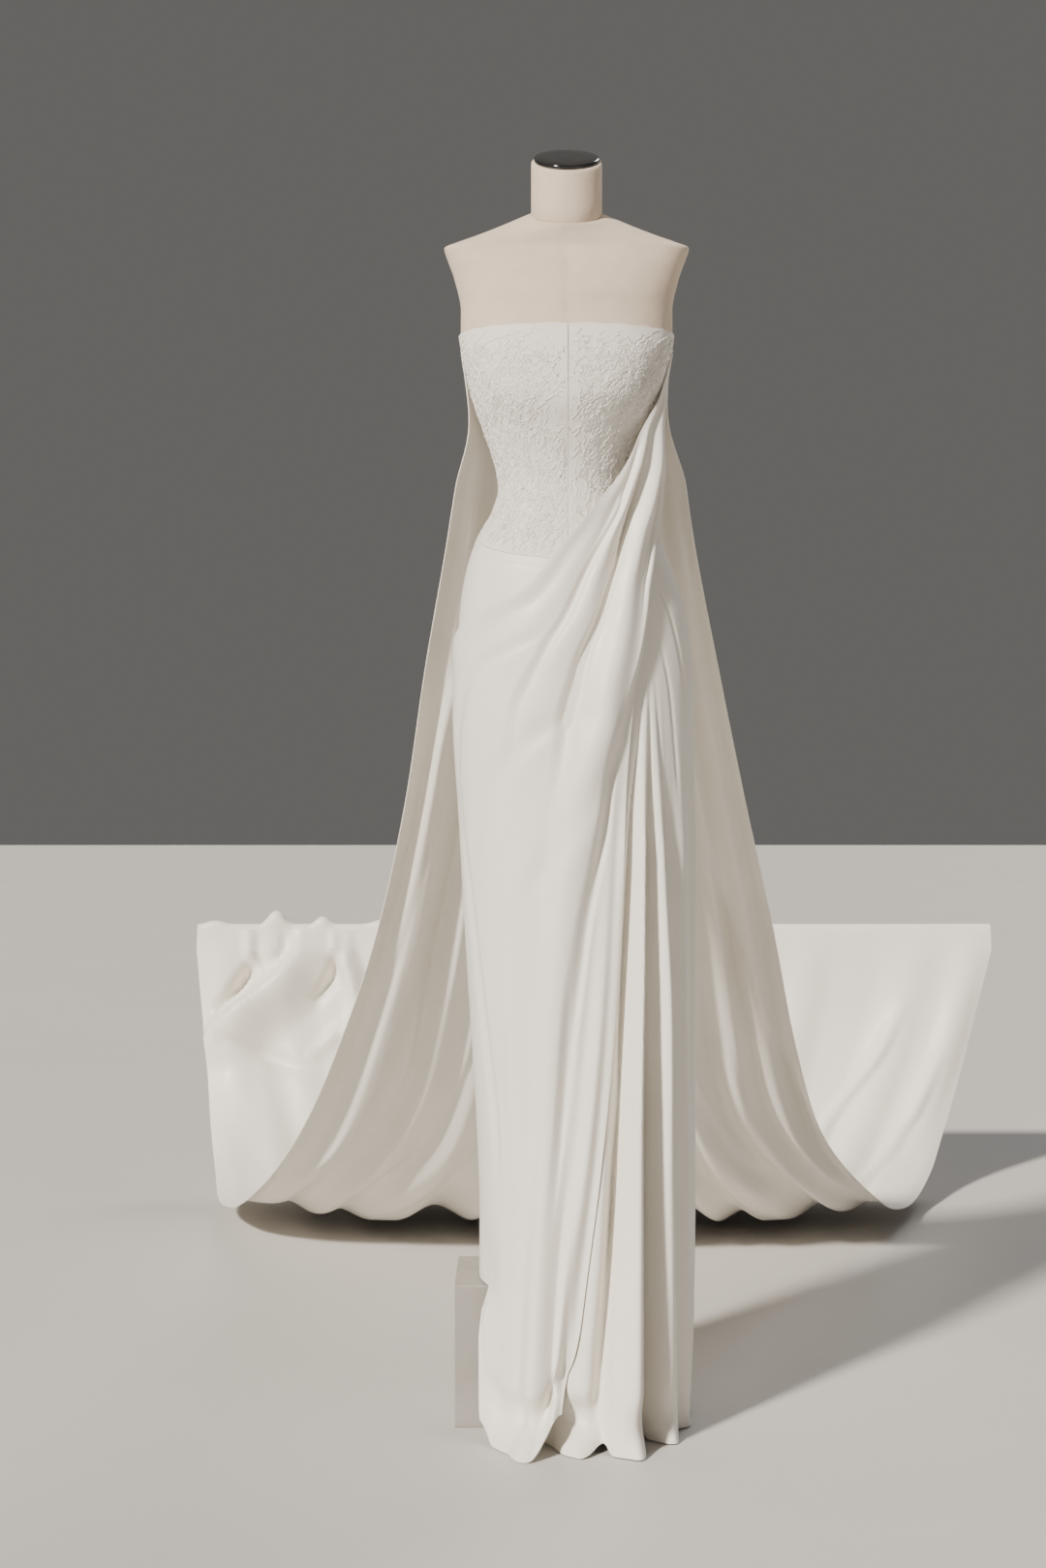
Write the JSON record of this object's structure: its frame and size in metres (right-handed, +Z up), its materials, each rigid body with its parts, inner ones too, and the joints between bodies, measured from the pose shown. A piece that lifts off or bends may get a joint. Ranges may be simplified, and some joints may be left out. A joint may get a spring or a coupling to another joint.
{
  "type": "strapless sheath gown with train on a dress form",
  "caption": "Strapless sheath gown with corded lace bodice, draped crepe skirt and long train, standing on a limbless dress form and low box; a plain rail holds the train's end.",
  "frame": {"origin": "on the floor under the dress form's pole, on the underside of the box", "axes": "+Z up, -Y is the gown's front, +X is the wearer's left, +Y is where the train runs"},
  "size_m": [1.8924, 2.3491, 1.8982],
  "materials": {
    "lace": "matte corded lace",
    "crepe": "soft satin-backed crepe",
    "linen": "matte linen",
    "cap": "black lacquer",
    "steel": "satin",
    "board": "painted board"
  },
  "bodies": {
    "root": {"bodice_front_left": "lace", "bodice_front_right": "lace", "bodice_back_left": "lace", "bodice_back_right": "lace", "skirt_front": "crepe", "skirt_back": "crepe", "front_drape": "crepe", "train_left": "crepe", "train_right": "crepe", "form_torso": "linen", "form_neck": "linen", "form_cap": "cap", "form_pole": "steel", "pole_flange": "steel", "stand_box": "board", "train_rail": "steel", "rail_post_left": "steel", "rail_post_right": "steel", "rail_foot_left": "steel", "rail_foot_right": "steel"}
  },
  "joints": []
}
